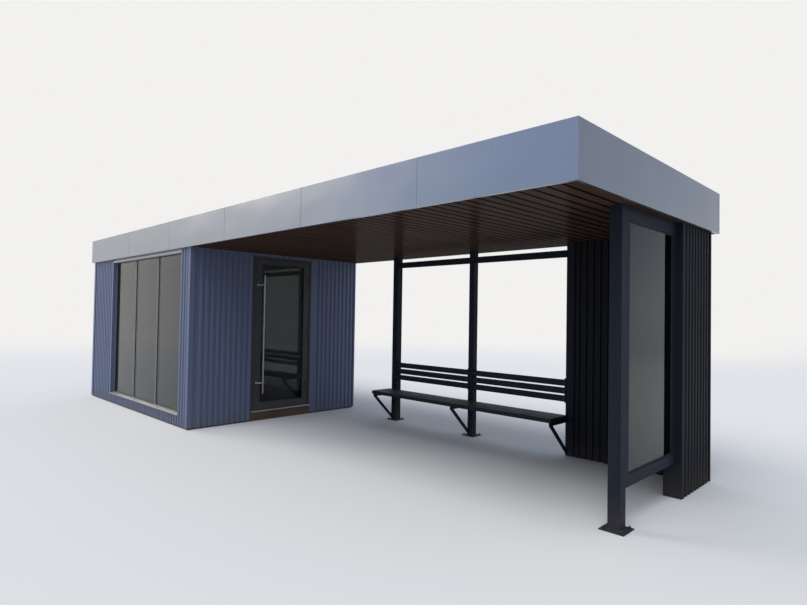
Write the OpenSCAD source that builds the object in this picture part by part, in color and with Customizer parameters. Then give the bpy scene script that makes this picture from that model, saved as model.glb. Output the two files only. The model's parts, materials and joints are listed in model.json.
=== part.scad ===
// Bus shelter: a flat roof with a deep metal fascia over a glazed kiosk and an open waiting area.
// Millimetres. X runs along the roof, Y to the back, Z up. The origin is on the ground,
// under the middle of the roof.

/* [Roof] */
// Length of the roof over the fascia
roof_length = 9500; // [9000:50:10400]
// Depth of the roof over the fascia
roof_depth = 2900; // [2800:20:3200]
// Height of the ceiling and of the fascia's lower edge
clear_height = 2400; // [2340:10:2700]
// Height of the fascia
fascia_height = 395; // [340:5:500]
// Gauge of the folded fascia metal
fascia_gauge = 5; // [3:1:8]
// Width of the lip that the fascia turns in under the roof
fascia_lip = 30; // [20:1:40]
// Width of the coping on top of the fascia
coping_width = 60; // [40:5:90]
// Depth of the coping's fold behind the kerb
coping_drip = 30; // [15:5:60]
// Distance from the roof's right end to the first joint of the front fascia
fascia_first_joint = 1360; // [600:10:1500]
// Distance between the fascia's joints
fascia_panel = 1570; // [1200:10:1600]
// Width of a fascia joint
fascia_joint = 6; // [3:1:10]
// Depth of a fascia joint
fascia_joint_depth = 3; // [1:0.5:3]
// Height of the roof's steel beams
beam_height = 180; // [120:10:200]
// Width of the roof's edge beams
beam_width = 80; // [60:5:120]
// Width of the roof's cross beams
joist_width = 60; // [40:5:100]
// Thickness of the roof deck
deck_thickness = 40; // [20:5:60]

/* [Ceiling] */
// Thickness of the ceiling
ceiling_thickness = 20; // [12:1:30]
// Distance between the joints of the ceiling boards
board_pitch = 110.5; // [80:0.5:160]
// Width of a joint between two boards
board_joint = 14; // [4:1:16]
// Depth of a joint between two boards
board_joint_depth = 10; // [4:1:11]
// Width of the first board, cut to fit along the kiosk
first_board = 30; // [15:1:60]

/* [Kiosk] */
// Length of the kiosk over its cladding
kiosk_length = 3970; // [3700:10:4300]
// Distance of the kiosk from the roof's left end
kiosk_inset_left = 70; // [35:5:150]
// Distance of the kiosk from the roof's front edge
kiosk_inset_front = 30; // [30:5:60]
// Distance of the kiosk from the roof's rear edge
kiosk_inset_rear = 40; // [30:5:120]
// Thickness of the wall panels behind the cladding
wall_core = 100; // [60:5:150]
// Height of the kiosk's floor above the ground
floor_height = 128; // [80:1:200]
// How far the floor's edge stays behind the cladding in the doorway
floor_setback = 12; // [4:1:18]

/* [Cladding] */
// Distance between the ribs
rib_pitch = 80.7; // [66:0.1:110]
// Width of a rib's flat front
rib_crest = 34; // [28:1:48]
// Width of the flat valley between two ribs
rib_valley = 28; // [10:1:34]
// Depth of the cladding, from the wall panel to the ribs' fronts
cladding_depth = 20; // [12:1:30]
// Gauge of the ribbed sheet
cladding_gauge = 3; // [2:0.5:4]
// Gap between the lower edge of the kiosk's cladding and the ground
ground_gap = 18; // [5:1:30]
// Width of a front corner flashing on each wall
corner_flange = 70; // [40:5:100]
// Width of a rear corner flashing on each wall
rear_corner_flange = 30; // [25:1:60]
// Distance from the front corner flashing to the middle of the door side's first valley
side_first_valley = 57; // [10:1:80]
// Distance from the window to the middle of the next valley towards the door side
front_first_valley = 60; // [30:1:80]
// Width of the flat strip between the door's hinge side and the ribs
jamb_strip = 119; // [40:1:140]

/* [Window] */
// Distance of the window from the kiosk's door-side face
window_from_corner = 290; // [220:5:400]
// Width of the window between its reveals
window_width = 2680; // [2300:10:3000]
// Height of the window's lower edge
window_sill_height = 178; // [150:1:900]
// Distance of the window's head below the ceiling
window_head_drop = 55; // [55:5:300]
// Depth of the window's reveal behind the ribs' fronts
reveal_depth = 50; // [30:1:65]
// Gauge of the reveal trims
reveal_gauge = 15; // [8:1:20]
// Face width of the window's outer frame, with the part behind the trims
window_frame_face = 70; // [50:1:100]
// Face width of the frame's bottom rail
window_bottom_face = 18; // [15:1:90]
// Face width of the frame's head, with the part behind the head flashing
window_head_face = 36; // [34:1:90]
// Distance of the panes behind the frame's front
window_pane_setback = 8; // [4:1:20]
// Depth of the window's frame
window_frame_depth = 60; // [40:1:70]
// Face width of a mullion
mullion_face = 60; // [40:1:100]
// Number of panes
pane_count = 3; // [2:1:5]
// Thickness of a pane
pane_gauge = 24; // [10:1:32]
// Height of the light flashing over the window
head_flashing_height = 32; // [20:1:45]
// How far the window sill stands out from the ribs' fronts
sill_nose = 12; // [10:1:28]
// Height of the sill's front edge
sill_front = 23; // [18:1:60]
// Thickness of the sill under the window's frame
sill_plate = 10; // [10:1:14]
// Fall of the sill's top from the frame to the front edge
sill_fall = 8; // [2:1:15]

/* [Door] */
// Width of the door's frame
door_width = 1000; // [850:1:1200]
// Height of the frame's top above the ground, below the ceiling
door_head_drop = 40; // [30:5:200]
// Distance of the door's middle line behind the roof's middle line
door_offset = 13; // [-150:1:150]
// Face width of the door's frame
door_frame_face = 30; // [25:1:60]
// Depth of the door's frame
door_frame_depth = 70; // [62:1:100]
// How far the frame stays behind the ribs' fronts
door_frame_setback = 2; // [0:1:10]
// How far the leaf stays behind the frame's front
leaf_setback = 6; // [2:1:12]
// Gap around the leaf
leaf_gap = 8; // [7:0.5:10]
// Thickness of the leaf
leaf_gauge = 50; // [40:1:56]
// Width of the leaf's upright stiles
leaf_stile = 95; // [80:1:130]
// Height of the leaf's top rail
leaf_top_rail = 62; // [50:1:120]
// Height of the leaf's bottom rail
leaf_bottom_rail = 105; // [80:1:300]
// Thickness of the door's glass
door_pane_gauge = 24; // [10:1:32]
// How far the door's glass stays behind the leaf's front
door_pane_setback = 8; // [4:1:14]
// Height of the light threshold strip
threshold_height = 14; // [12:1:30]
// How far the threshold stands out from the ribs' fronts
threshold_nose = 8; // [0:1:20]

/* [Door fittings] */
// Diameter of the pull bar
bar_diameter = 20; // [18:1:40]
// Distance of the bar's lower end from the leaf's bottom
bar_low = 245; // [150:5:500]
// Distance of the bar's upper end from the leaf's top
bar_high = 227; // [150:1:500]
// Distance of a standoff from the bar's end
standoff_inset = 145; // [80:5:200]
// Diameter of a standoff
standoff_diameter = 18; // [12:1:24]
// How far the bar's axis stands out from the leaf, and sideways from the standoffs' feet
bar_offset = 70; // [50:1:80]
// Distance of a standoff's foot from the leaf's free edge
standoff_edge = 33; // [30:1:50]
// Diameter of a standoff's round foot
standoff_foot = 34; // [26:1:40]
// Thickness of a standoff's round foot
foot_gauge = 5; // [3:1:6]
// Diameter of a hinge barrel
barrel_diameter = 18; // [12:1:24]
// Length of each half of a hinge barrel
barrel_length = 48; // [30:1:70]
// Gap between the halves of a hinge barrel
barrel_gap = 2; // [1:0.5:4]
// Distance of the hinge axis in front of the door frame
hinge_reach = 10; // [9.5:0.5:14]
// Distance of the outer hinges from the leaf's bottom and top
hinge_inset = 240; // [150:10:400]

/* [Posts] */
// Width of the square rear post next to the kiosk
first_post_width = 95; // [60:1:110]
// Width of the other square rear posts
post_width = 80; // [60:1:100]
// Distance of the rear posts' front faces from the roof's rear edge
post_inset = 285; // [270:5:400]
// Distance of the first rear post from the kiosk
first_post = 1160; // [900:10:1500]
// Distance from the first rear post to the middle one
left_bay = 1430; // [1300:10:1450]
// Distance from the middle rear post to the last one
right_bay = 1390; // [1300:10:1450]
// Width of the square front post
front_post_width = 95; // [70:1:120]
// Distance of the front post's front face behind the roof's front edge
front_post_setback = 862; // [600:5:1000]
// Distance of the side screen's outer face from the roof's right end
side_inset = 95; // [80:5:140]
// Width of a square base plate
plate_width = 190; // [150:5:220]
// Thickness of a base plate
plate_gauge = 8; // [6:1:15]
// Distance between the bolt holes of a base plate
bolt_spacing = 140; // [125:5:150]
// Diameter of a bolt hole
bolt_hole = 14; // [10:1:18]
// Height of the rear rails' top below the ceiling
rail_drop = 80; // [40:5:200]
// Height of the rear rails
rail_height = 80; // [50:5:100]
// Depth of the rear rails
rail_depth = 40; // [30:5:60]

/* [Bench] */
// Height of the seat
seat_height = 455; // [420:5:480]
// Thickness of the seat planks
seat_gauge = 48; // [30:1:50]
// Depth of the seat
seat_depth = 360; // [300:5:420]
// Gap between the seat and the posts
seat_gap = 5; // [2:1:20]
// Number of seat planks
plank_count = 4; // [3:1:6]
// Gap between two seat planks
plank_gap = 10; // [5:1:15]
// How far the planks pass the first post
seat_overhang = 35; // [0:5:40]
// How far the planks reach over the last bracket
seat_bearing = 25; // [15:5:35]
// Width of the bracket's square tube
bracket_tube = 30; // [25:1:50]
// Distance of the bracket's nose behind the seat's front edge
bracket_setback = 0; // [0:5:60]
// Height of the strut's foot above the ground
strut_foot = 22; // [15:1:80]
// Height of the lowest back slat
back_low = 600; // [560:5:650]
// Height of a back slat
slat_height = 71; // [50:1:80]
// Gap between two back slats
slat_gap = 18; // [15:1:40]
// Number of back slats in a bay
slat_count = 3; // [2:1:4]
// Thickness of a back slat
slat_gauge = 25; // [18:1:35]
// Gap between a slat's end and its post
slat_end_gap = 3; // [1:1:8]
// Width of the lugs that hold the slats
lug_width = 30; // [20:1:45]
// Thickness of the lugs
lug_gauge = 6; // [4:1:10]
// How far the lugs pass the lowest and highest slats
lug_margin = 15; // [5:5:25]

/* [Corner walls] */
// Gap between the lower edge of the corner walls' cladding and the ground
corner_wall_gap = 3; // [2:1:30]
// Thickness of the wall panels behind the bench and of the pier, without cladding
screen_core = 125; // [80:5:150]
// Thickness of the pier's panel, without cladding
pier_core = 117; // [80:5:150]
// Distance of the pier's outer face from the roof's right end
pier_inset = 38; // [32:1:60]
// Depth of the pier, from its front to its rear
pier_depth = 799; // [600:5:900]
// Width of the frame around the side glass
side_stile = 50; // [35:1:70]
// Height of the side frame's top rail
side_top_rail = 112; // [60:1:140]
// Height of the side frame's bottom rail
side_bottom_rail = 90; // [60:5:120]
// Height of the bottom rail's lower edge
side_bottom = 302; // [200:5:500]
// Thickness of the side frame
side_frame_depth = 50; // [35:1:60]
// Thickness of the side glass
side_glass_gauge = 12; // [8:1:20]

/* [Hidden] */
$fn = 48;

// A cut runs past the faces that it opens by this much
cut = 10;
// A rib that misses the end of its sheet by this share of a pitch is still whole
rib_slack = 0.001;

// Colours
cladding_blue = "#5f6a8a";
fascia_grey = "#b4b8bd";
steel_slate = "#2b303d";
board_brown = "#6b5a50";

// Roof edges and levels
roof_x = roof_length / 2;
roof_y = roof_depth / 2;
roof_top = clear_height + fascia_height;
beam_base = clear_height + ceiling_thickness;
deck_base = beam_base + beam_height;
deck_top = deck_base + deck_thickness;
inner_x = roof_x - fascia_gauge;
inner_y = roof_y - fascia_gauge;
kerb_width = coping_width - 2 * fascia_gauge;

// Kiosk faces: the ribs' fronts, then the wall panels behind them
kiosk_x0 = -roof_x + kiosk_inset_left;
kiosk_x1 = kiosk_x0 + kiosk_length;
kiosk_y0 = -roof_y + kiosk_inset_front;
kiosk_y1 = roof_y - kiosk_inset_rear;
core_x0 = kiosk_x0 + cladding_depth;
core_x1 = kiosk_x1 - cladding_depth;
core_y0 = kiosk_y0 + cladding_depth;
core_y1 = kiosk_y1 - cladding_depth;

// Window
window_x1 = kiosk_x1 - window_from_corner;
window_x0 = window_x1 - window_width;
hole_x0 = window_x0 - reveal_gauge;
hole_x1 = window_x1 + reveal_gauge;
window_head = clear_height - window_head_drop;
hole_top = window_head + head_flashing_height;
window_frame_y = kiosk_y0 + reveal_depth;
window_pane_y = window_frame_y + window_pane_setback;
glass_x0 = hole_x0 + window_frame_face;
glass_x1 = hole_x1 - window_frame_face;
pane_width = (glass_x1 - glass_x0 - (pane_count - 1) * mullion_face) / pane_count;
glass_z0 = window_sill_height + window_bottom_face;
glass_z1 = hole_top - window_head_face;

// Door
door_top = clear_height - door_head_drop;
door_y0 = door_offset - door_width / 2;
door_y1 = door_offset + door_width / 2;
threshold_top = floor_height + threshold_height;
frame_x = kiosk_x1 - door_frame_setback;
leaf_x = frame_x - leaf_setback;
leaf_y0 = door_y0 + door_frame_face + leaf_gap;
leaf_y1 = door_y1 - door_frame_face - leaf_gap;
leaf_z0 = threshold_top + leaf_gap;
leaf_z1 = door_top - door_frame_face - leaf_gap;
hinge_x = frame_x + hinge_reach;
hinge_y = leaf_y1 + leaf_gap / 2;

// Rear posts, counted from the kiosk
post_line = roof_y - post_inset;
post_x = [for (d = [0, left_bay, left_bay + right_bay]) kiosk_x1 + first_post + d];
post_size = [first_post_width, post_width, post_width];

// Pier and rear screen wall
pier_x1 = roof_x - pier_inset;
pier_core_x1 = pier_x1 - cladding_depth;
pier_core_x0 = pier_core_x1 - pier_core;
pier_x0 = pier_core_x0 - cladding_depth;
screen_core_y0 = post_line + cladding_depth;
screen_core_y1 = screen_core_y0 + screen_core;
screen_y1 = screen_core_y1 + cladding_depth;
screen_x0 = post_x[2] + post_size[2];
screen_core_x0 = screen_x0 + cladding_depth;
pier_y0 = screen_y1 - pier_depth;
pier_core_y0 = pier_y0 + cladding_depth;

// Side glass between the front post and the pier
side_x1 = roof_x - side_inset;
front_post_y0 = -roof_y + front_post_setback;
front_post_y1 = front_post_y0 + front_post_width;
side_glass_z0 = side_bottom + side_bottom_rail;
side_glass_z1 = clear_height - side_top_rail;

// Bench
seat_base = seat_height - seat_gauge;
seat_y0 = post_line - seat_gap - seat_depth;
plank_width = (seat_depth - (plank_count - 1) * plank_gap) / plank_count;
slat_pitch = slat_height + slat_gap;
back_top = back_low + slat_count * slat_pitch - slat_gap;

// A plain block between two corners
module block(low, high) {
  translate(low) cube(high - low);
}

// Plan of a thin ribbed sheet along +X with its ribs towards -Y. The middle of a valley is
// at phase, and only whole ribs are made.
function rib_flank() = (rib_pitch - rib_crest - rib_valley) / 2;
function rib_front(x) = [
  [x, -cladding_gauge],
  [x + rib_flank(), -cladding_depth],
  [x + rib_flank() + rib_crest, -cladding_depth],
  [x + rib_pitch - rib_valley, -cladding_gauge]
];
function rib_back(x) = [
  [x + rib_pitch - rib_valley - cladding_gauge, 0],
  [x + rib_flank() + rib_crest - cladding_gauge, cladding_gauge - cladding_depth],
  [x + rib_flank() + cladding_gauge, cladding_gauge - cladding_depth],
  [x + cladding_gauge, 0]
];

module ribbed_sheet(length, phase, low) {
  first = ceil((-phase - rib_valley / 2) / rib_pitch - rib_slack);
  last = floor((length - phase + rib_valley / 2) / rib_pitch + rib_slack) - 1;
  foot = function (k) phase + k * rib_pitch + rib_valley / 2;
  front = [for (k = [first : last]) each rib_front(foot(k))];
  back = [for (k = [last : -1 : first]) each rib_back(foot(k))];
  translate([0, 0, low]) linear_extrude(clear_height - low)
    polygon(concat([[0, 0], [0, -cladding_gauge]], front,
                   [[length, -cladding_gauge], [length, 0]], back));
}

// Ribbed sheets on a wall that faces the front, the right, the rear or the left, from one
// end to the other. valley is the place of a valley's middle along the wall.
module sheet_facing_front(x0, x1, y, valley, low = ground_gap) {
  translate([x0, y, 0]) ribbed_sheet(x1 - x0, valley - x0, low);
}
module sheet_facing_right(y0, y1, x, valley, low = ground_gap) {
  translate([x, y0, 0]) rotate(90) ribbed_sheet(y1 - y0, valley - y0, low);
}
module sheet_facing_rear(x0, x1, y, valley, low = ground_gap) {
  translate([x1, y, 0]) rotate(180) ribbed_sheet(x1 - x0, x1 - valley, low);
}
module sheet_facing_left(y0, y1, x, valley, low = ground_gap) {
  translate([x, y1, 0]) rotate(-90) ribbed_sheet(y1 - y0, y1 - valley, low);
}

// Angle flashing round an outer corner at [x, y]; sx and sy point to the outside
module corner_angle(x, y, sx, sy, flange, low = ground_gap) {
  translate([x, y, low]) linear_extrude(clear_height - low)
    polygon([
      [0, 0], [-sx * flange, 0], [-sx * flange, -sy * cladding_depth],
      [-sx * cladding_depth, -sy * cladding_depth],
      [-sx * cladding_depth, -sy * flange], [0, -sy * flange]
    ]);
}

// Kiosk walls and floor
module kiosk_floor() {
  color("#6e5a50") union() {
    block([core_x0 + wall_core, core_y0 + wall_core, 0],
          [core_x1 - wall_core, core_y1 - wall_core, floor_height]);
    block([core_x1 - wall_core - cut, door_y0, 0], [kiosk_x1 - floor_setback, door_y1, floor_height]);
  }
}
module front_core(x0, x1, z0, z1) {
  color("#c9cbc8") block([x0, core_y0, z0], [x1, core_y0 + wall_core, z1]);
}
module front_wall_left() { front_core(core_x0, hole_x0, 0, clear_height); }
module front_wall_right() { front_core(hole_x1, core_x1, 0, clear_height); }
module front_wall_below_window() {
  front_core(hole_x0, hole_x1, 0, window_sill_height - sill_plate);
}
module front_wall_above_window() { front_core(hole_x0, hole_x1, hole_top, clear_height); }
module left_wall() {
  color("#c9cbc8") block([core_x0, core_y0 + wall_core, 0],
                         [core_x0 + wall_core, core_y1 - wall_core, clear_height]);
}
module rear_wall() {
  color("#c9cbc8") block([core_x0, core_y1 - wall_core, 0], [core_x1, core_y1, clear_height]);
}
module door_core(y0, y1, z0) {
  color("#c9cbc8") block([core_x1 - wall_core, y0, z0], [core_x1, y1, clear_height]);
}
module door_wall_front() { door_core(core_y0 + wall_core, door_y0, 0); }
module door_wall_rear() { door_core(door_y1, core_y1 - wall_core, 0); }
module door_wall_above_door() { door_core(door_y0, door_y1, door_top); }

// Ribbed cladding of the kiosk, with the window's side reveals folded from the front sheet
module front_cladding() {
  color(cladding_blue) union() {
    difference() {
      sheet_facing_front(kiosk_x0 + corner_flange, kiosk_x1 - corner_flange, core_y0,
                         window_x1 + front_first_valley);
      block([hole_x0, kiosk_y0 - cut, window_sill_height - sill_front],
            [hole_x1, core_y0 + cut, clear_height + cut]);
    }
    block([hole_x0 - reveal_gauge, kiosk_y0, window_sill_height - sill_front],
          [hole_x0, core_y0, clear_height]);
    block([hole_x0, kiosk_y0, window_sill_height], [window_x0, core_y0, clear_height]);
    block([hole_x0, kiosk_y0, window_sill_height], [window_x0, window_frame_y, hole_top]);
    block([hole_x1, kiosk_y0, window_sill_height - sill_front],
          [hole_x1 + reveal_gauge, core_y0, clear_height]);
    block([window_x1, kiosk_y0, window_sill_height], [hole_x1, core_y0, clear_height]);
    block([window_x1, kiosk_y0, window_sill_height], [hole_x1, window_frame_y, hole_top]);
  }
}
module door_side_cladding() {
  strip_y1 = door_y1 + jamb_strip;
  color(cladding_blue) union() {
    difference() {
      sheet_facing_right(kiosk_y0 + corner_flange, kiosk_y1 - rear_corner_flange, core_x1,
                         kiosk_y0 + corner_flange + side_first_valley);
      block([core_x1 - cut, door_y0, 0], [kiosk_x1 + cut, door_y1, door_top]);
      block([core_x1 - cut, door_y1, 0], [kiosk_x1 + cut, strip_y1, clear_height + cut]);
    }
    block([core_x1, door_y1, ground_gap], [kiosk_x1, strip_y1, clear_height]);
  }
}
module left_cladding() {
  color(cladding_blue)
    sheet_facing_left(kiosk_y0 + corner_flange, kiosk_y1 - rear_corner_flange, core_x0, 0);
}
module rear_cladding() {
  color(cladding_blue)
    sheet_facing_rear(kiosk_x0 + rear_corner_flange, kiosk_x1 - rear_corner_flange, core_y1,
                      (kiosk_x0 + kiosk_x1) / 2);
}
module corner_flashings() {
  color(cladding_blue) for (end = [[kiosk_x0, -1], [kiosk_x1, 1]]) {
    corner_angle(end[0], kiosk_y0, end[1], -1, corner_flange);
    corner_angle(end[0], kiosk_y1, end[1], 1, rear_corner_flange);
  }
}

// Window
module window_frame() {
  color("#43464d") difference() {
    block([hole_x0, window_frame_y, window_sill_height],
          [hole_x1, window_frame_y + window_frame_depth, hole_top]);
    for (i = [0 : pane_count - 1]) {
      x = glass_x0 + i * (pane_width + mullion_face);
      block([x, window_frame_y - cut, glass_z0],
            [x + pane_width, window_frame_y + window_frame_depth + cut, glass_z1]);
    }
  }
}
module window_glass() {
  color("#5c666b", 0.6) for (i = [0 : pane_count - 1]) {
    x = glass_x0 + i * (pane_width + mullion_face);
    block([x, window_pane_y, glass_z0], [x + pane_width, window_pane_y + pane_gauge, glass_z1]);
  }
}
module window_flashings() {
  sill_y = kiosk_y0 - sill_nose;
  inner_y = window_frame_y + window_frame_depth;
  color("#c8cbcd") {
    translate([hole_x0, 0, 0]) rotate([90, 0, 90]) linear_extrude(hole_x1 - hole_x0)
      polygon([
        [core_y0, window_sill_height - sill_front], [sill_y, window_sill_height - sill_front],
        [sill_y, window_sill_height - sill_fall], [window_frame_y, window_sill_height],
        [inner_y, window_sill_height], [inner_y, window_sill_height - sill_plate],
        [core_y0, window_sill_height - sill_plate]
      ]);
    block([window_x0, kiosk_y0, window_head], [window_x1, window_frame_y, hole_top]);
  }
}

// Door
module door_frame() {
  x0 = frame_x - door_frame_depth;
  color("#26272b") difference() {
    block([x0, door_y0, threshold_top], [frame_x, door_y1, door_top]);
    block([x0 - cut, door_y0 + door_frame_face, 0],
          [frame_x + cut, door_y1 - door_frame_face, door_top - door_frame_face]);
  }
}
module door_threshold() {
  color("#c8cbcd") block([core_x1 - wall_core, door_y0, floor_height],
                         [kiosk_x1 + threshold_nose, door_y1, threshold_top]);
}
module door_leaf() {
  x0 = leaf_x - leaf_gauge;
  color("#26272b") difference() {
    block([x0, leaf_y0, leaf_z0], [leaf_x, leaf_y1, leaf_z1]);
    block([x0 - cut, leaf_y0 + leaf_stile, leaf_z0 + leaf_bottom_rail],
          [leaf_x + cut, leaf_y1 - leaf_stile, leaf_z1 - leaf_top_rail]);
  }
}
module door_glass() {
  outer_x = leaf_x - door_pane_setback;
  color("#5c666b", 0.6)
    block([outer_x - door_pane_gauge, leaf_y0 + leaf_stile, leaf_z0 + leaf_bottom_rail],
          [outer_x, leaf_y1 - leaf_stile, leaf_z1 - leaf_top_rail]);
}

// A long pull bar on two offset standoffs, each on a round foot
module door_handle() {
  foot_y = leaf_y0 + standoff_edge;
  low = leaf_z0 + bar_low;
  high = leaf_z1 - bar_high;
  color("#c2c4c6") union() {
    translate([leaf_x + bar_offset, foot_y + bar_offset, low])
      cylinder(d = bar_diameter, h = high - low);
    for (z = [low + standoff_inset, high - standoff_inset]) translate([leaf_x, foot_y, z]) {
      rotate([0, 90, 0]) cylinder(d = standoff_foot, h = foot_gauge);
      difference() {
        rotate([0, 90, 45]) translate([0, 0, -standoff_diameter])
          cylinder(d = standoff_diameter, h = standoff_diameter + bar_offset * sqrt(2));
        translate([-2 * standoff_diameter, -2 * standoff_diameter, -standoff_diameter])
          cube([2 * standoff_diameter, 4 * standoff_diameter, 2 * standoff_diameter]);
      }
    }
  }
}

// Hinges: the lower halves stay on the frame, the upper halves turn with the leaf
function hinge_z(i) =
  let (low = leaf_z0 + hinge_inset, high = leaf_z1 - hinge_inset - 2 * barrel_length - barrel_gap)
  low + i * (high - low) / 2;
module hinge_sockets() {
  color("#1f2023") for (i = [0 : 2]) translate([0, 0, hinge_z(i)]) {
    translate([hinge_x, hinge_y, 0]) cylinder(d = barrel_diameter, h = barrel_length);
    block([frame_x, hinge_y, 0], [hinge_x, door_y1 - door_frame_face / 3, barrel_length]);
  }
}
module hinge_knuckles() {
  color("#1f2023") for (i = [0 : 2])
    translate([0, 0, hinge_z(i) + barrel_length + barrel_gap]) {
      translate([hinge_x, hinge_y, 0]) cylinder(d = barrel_diameter, h = barrel_length);
      block([leaf_x, leaf_y1 - leaf_stile / 3, 0], [hinge_x, hinge_y, barrel_length]);
    }
}

// Roof
module roof_frame() {
  z1 = beam_base + beam_height;
  joists = concat([core_x1 - wall_core / 2], [for (i = [0 : 2]) post_x[i] + post_size[i] / 2],
                  [(core_x0 + core_x1) / 2, side_x1 - front_post_width / 2]);
  color(steel_slate) union() {
    difference() {
      block([-inner_x, -inner_y, beam_base], [inner_x, inner_y, z1]);
      block([-inner_x + beam_width, -inner_y + beam_width, beam_base - cut],
            [inner_x - beam_width, inner_y - beam_width, z1 + cut]);
    }
    for (x = joists)
      block([x - joist_width / 2, -inner_y + beam_width / 2, beam_base],
            [x + joist_width / 2, inner_y - beam_width / 2, z1]);
  }
}
module roof_deck() {
  color("#7b7e80") difference() {
    block([-inner_x, -inner_y, deck_base], [inner_x, inner_y, roof_top - fascia_gauge]);
    block([-inner_x + kerb_width, -inner_y + kerb_width, deck_top],
          [inner_x - kerb_width, inner_y - kerb_width, roof_top + cut]);
  }
}
module ceiling_boards() {
  span = roof_x - fascia_lip - kiosk_x1;
  joints = floor((span - first_board - board_joint) / board_pitch);
  half = board_joint / 2;
  outline = concat(
    [[0, ceiling_thickness], [0, 0]],
    [for (i = [0 : joints]) let (x = first_board + i * board_pitch)
      each [[x - half, 0], [x - half, board_joint_depth],
            [x + half, board_joint_depth], [x + half, 0]]],
    [[span, 0], [span, ceiling_thickness]]);
  depth = 2 * (roof_y - fascia_lip);
  color(board_brown) difference() {
    translate([kiosk_x1, depth / 2, clear_height]) rotate([90, 0, 0])
      linear_extrude(depth) polygon(outline);
    for (i = [0 : 2])
      block([post_x[i], post_line, clear_height - cut],
            [post_x[i] + post_size[i], post_line + post_size[i], beam_base + cut]);
    block([side_x1 - front_post_width, front_post_y0, clear_height - cut],
          [side_x1, front_post_y1, beam_base + cut]);
  }
}
module kiosk_ceiling() {
  y = roof_y - fascia_lip;
  color("#d4d5d3") block([-roof_x + fascia_lip, -y, clear_height],
                         [kiosk_x1, y, clear_height + ceiling_thickness]);
}

// The fascia's folded section: face, lip and coping. The face is at 0 and the section runs
// inwards along +X and up along +Y. The drip is the coping's fold behind the kerb.
module fascia_section() {
  g = fascia_gauge;
  h = fascia_height;
  polygon([[0, 0], [fascia_lip, 0], [fascia_lip, g], [g, g], [g, h - g], [coping_width, h - g],
           [coping_width, h], [0, h]]);
}
module drip_section() {
  top = fascia_height - fascia_gauge;
  polygon([[coping_width - fascia_gauge, top - coping_drip], [coping_width, top - coping_drip],
           [coping_width, fascia_height], [coping_width - fascia_gauge, fascia_height]]);
}
// A section drawn along a side, from one y to the other; side is 1 on the right, -1 on the left
module along_side(side, y0, y1) {
  translate([side * roof_x, side > 0 ? y1 : y0, clear_height])
    rotate([90, 0, side > 0 ? 0 : 180]) mirror([1, 0, 0]) linear_extrude(y1 - y0) children();
}
// A section drawn along the front or the rear, short of both ends by inset
module along_front(side, inset) {
  translate([side * (roof_x - inset), side * roof_y, clear_height])
    rotate([90, 0, side < 0 ? 90 : -90]) linear_extrude(roof_length - 2 * inset) children();
}
// A long fascia, with the corners folded round its ends; side is -1 at the front, 1 at the rear
module long_fascia(side) {
  union() {
    along_front(side, 0) fascia_section();
    along_front(side, coping_width - fascia_gauge) drip_section();
    for (end = [-1, 1])
      along_side(end, side < 0 ? -roof_y : roof_y - coping_width,
                 side < 0 ? -roof_y + coping_width : roof_y) fascia_section();
  }
}
module side_fascia(side) {
  color(fascia_grey) along_side(side, -roof_y + coping_width, roof_y - coping_width) union() {
    fascia_section();
    drip_section();
  }
}
module fascia_joints(side) {
  for (x = [roof_x - fascia_first_joint : -fascia_panel : -roof_x + fascia_panel / 2])
    translate([x - fascia_joint / 2, side * roof_y - fascia_joint_depth, clear_height - cut])
      cube([fascia_joint, 2 * fascia_joint_depth, fascia_height - fascia_gauge + cut]);
}
module fascia_front() {
  color(fascia_grey) difference() { long_fascia(-1); fascia_joints(-1); }
}
module fascia_rear() {
  color(fascia_grey) difference() { long_fascia(1); fascia_joints(1); }
}
module fascia_left() { side_fascia(-1); }
module fascia_right() { side_fascia(1); }

// Base plate with four bolt holes, centred under a post
module base_plate() {
  translate([-plate_width / 2, -plate_width / 2, 0]) difference() {
    cube([plate_width, plate_width, plate_gauge]);
    for (i = [-1, 1], j = [-1, 1])
      translate([plate_width / 2 + i * bolt_spacing / 2, plate_width / 2 + j * bolt_spacing / 2, -cut])
        cylinder(d = bolt_hole, h = plate_gauge + 2 * cut);
  }
}
// Bracket under the seat: an arm and a strut, flush with the post's left face at x
module seat_bracket(x) {
  nose = seat_y0 + bracket_setback;
  arm_low = seat_base - bracket_tube;
  rise = arm_low - strut_foot;
  run = post_line - nose;
  drop = bracket_tube * sqrt(rise * rise + run * run) / run;
  block([x, nose, arm_low], [x + bracket_tube, post_line, seat_base]);
  translate([x, 0, 0]) rotate([90, 0, 90]) linear_extrude(bracket_tube)
    polygon([
      [nose, arm_low], [nose, seat_base], [nose + (drop - bracket_tube) * run / rise, seat_base],
      [post_line, strut_foot + drop], [post_line, strut_foot]
    ]);
}
// Lug that holds the ends of the back slats, on the post's side face at x
module slat_lug(x, side) {
  y = post_line + slat_gauge;
  low = min(x, x + side * lug_width);
  block([low, y, back_low - lug_margin],
        [low + lug_width, y + lug_gauge, back_top + lug_margin]);
}
module rear_post(i, plate, lugs) {
  x = post_x[i];
  size = post_size[i];
  color(steel_slate) union() {
    block([x, post_line, 0], [x + size, post_line + size, beam_base]);
    if (plate) translate([x + size / 2, post_line + size / 2, 0]) base_plate();
    seat_bracket(x);
    for (side = lugs) slat_lug(side < 0 ? x : x + size, side);
  }
}
module post_rear_left() { rear_post(0, true, [1]); }
module post_rear_middle() { rear_post(1, true, [-1, 1]); }
module post_rear_right() { rear_post(2, false, [-1]); }
module post_front() {
  x = side_x1 - front_post_width;
  color(steel_slate) union() {
    block([x, front_post_y0, 0], [side_x1, front_post_y1, beam_base]);
    translate([x + front_post_width / 2, front_post_y0 + front_post_width / 2, 0]) base_plate();
  }
}
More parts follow.
